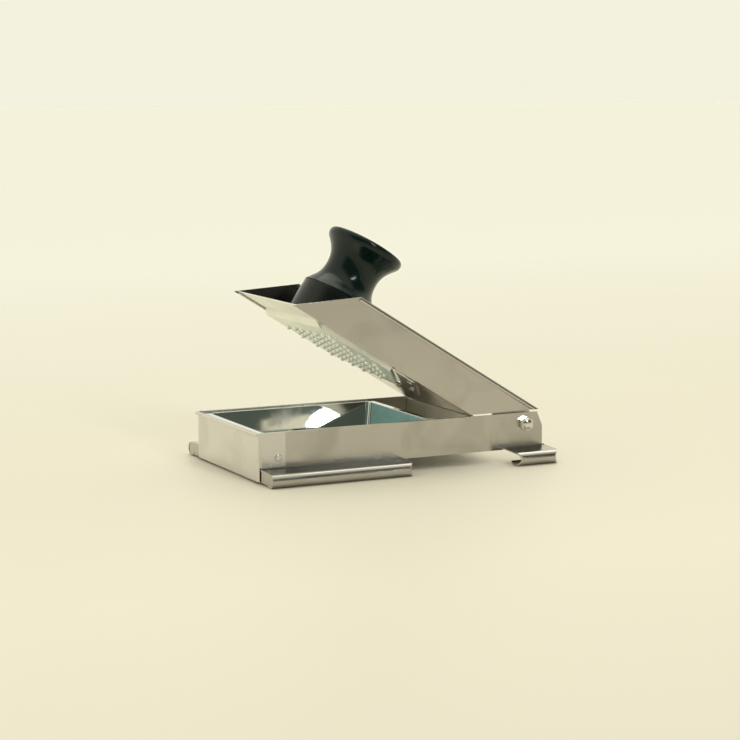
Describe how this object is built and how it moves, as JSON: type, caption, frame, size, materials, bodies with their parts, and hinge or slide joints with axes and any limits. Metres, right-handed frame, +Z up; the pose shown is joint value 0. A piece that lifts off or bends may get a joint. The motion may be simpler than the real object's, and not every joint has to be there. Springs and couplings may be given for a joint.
{
  "type": "mandoline slicer",
  "caption": "Sheet-steel kitchen slicer: low frame with rolled feet and catch tray, hinged sloping deck with grater insert, V blade and black pusher knob.",
  "frame": {"origin": "on the table under the middle of the frame's length and width", "axes": "+X from the front panel towards the hinge, +Y from the near side wall towards the far one, +Z up"},
  "size_m": [0.234, 0.158, 0.1739],
  "materials": {
    "frame_steel": "fine brushed stainless sheet",
    "tray_steel": "bright polished stainless sheet",
    "insert_steel": "pale satin stainless sheet",
    "blade_steel": "ground and polished",
    "bolt_steel": "bright plated",
    "black_plastic": "glossy moulded black"
  },
  "bodies": {
    "frame": {"side_wall_near": "frame_steel", "side_wall_far": "frame_steel", "front_panel": "frame_steel", "front_rivet_near": "frame_steel", "front_rivet_far": "frame_steel", "tray_rail_near": "frame_steel", "tray_rail_far": "frame_steel", "deck_rest_bar": "frame_steel", "pivot_bolt_near": "bolt_steel", "pivot_bolt_far": "bolt_steel", "pivot_nut_near": "bolt_steel", "pivot_nut_far": "bolt_steel", "pivot_spacer_near": "bolt_steel", "pivot_spacer_far": "bolt_steel"},
    "tray": {"catch_tray": "tray_steel"},
    "deck": {"deck_channel": "frame_steel", "hinge_ear_near": "frame_steel", "hinge_ear_far": "frame_steel", "v_blade_near": "blade_steel", "v_blade_far": "blade_steel", "blade_rivet_1_near": "bolt_steel", "blade_rivet_1_far": "bolt_steel", "blade_rivet_2_near": "bolt_steel", "blade_rivet_2_far": "bolt_steel"},
    "insert": {"grater_insert": "insert_steel"},
    "carriage": {"slide_carriage": "black_plastic"},
    "pusher": {"pusher_knob": "black_plastic", "prong_plate": "blade_steel", "knob_washer": "bolt_steel", "knob_screw": "bolt_steel"}
  },
  "joints": [
    {"name": "deck_hinge", "type": "hinge", "parent": "frame", "child": "deck", "pos_m": [0.1003, 0, 0.0277], "axis": [0, 1, 0], "range_deg": [0, 58]},
    {"name": "tray_tip", "type": "hinge", "parent": "frame", "child": "tray", "pos_m": [0.0233, 0, 0.01], "axis": [0, 1, 0], "range_deg": [0, 20]},
    {"name": "insert_slide", "type": "slide", "parent": "deck", "child": "insert", "axis": [-0.8515, 0, 0.5244], "range_m": [0, 0.12]},
    {"name": "carriage_slide", "type": "slide", "parent": "deck", "child": "carriage", "axis": [0.8515, 0, -0.5244], "range_m": [0, 0.095]},
    {"name": "pusher_lift", "type": "slide", "parent": "carriage", "child": "pusher", "axis": [0.5244, 0, 0.8515], "range_m": [0, 0.018]}
  ]
}
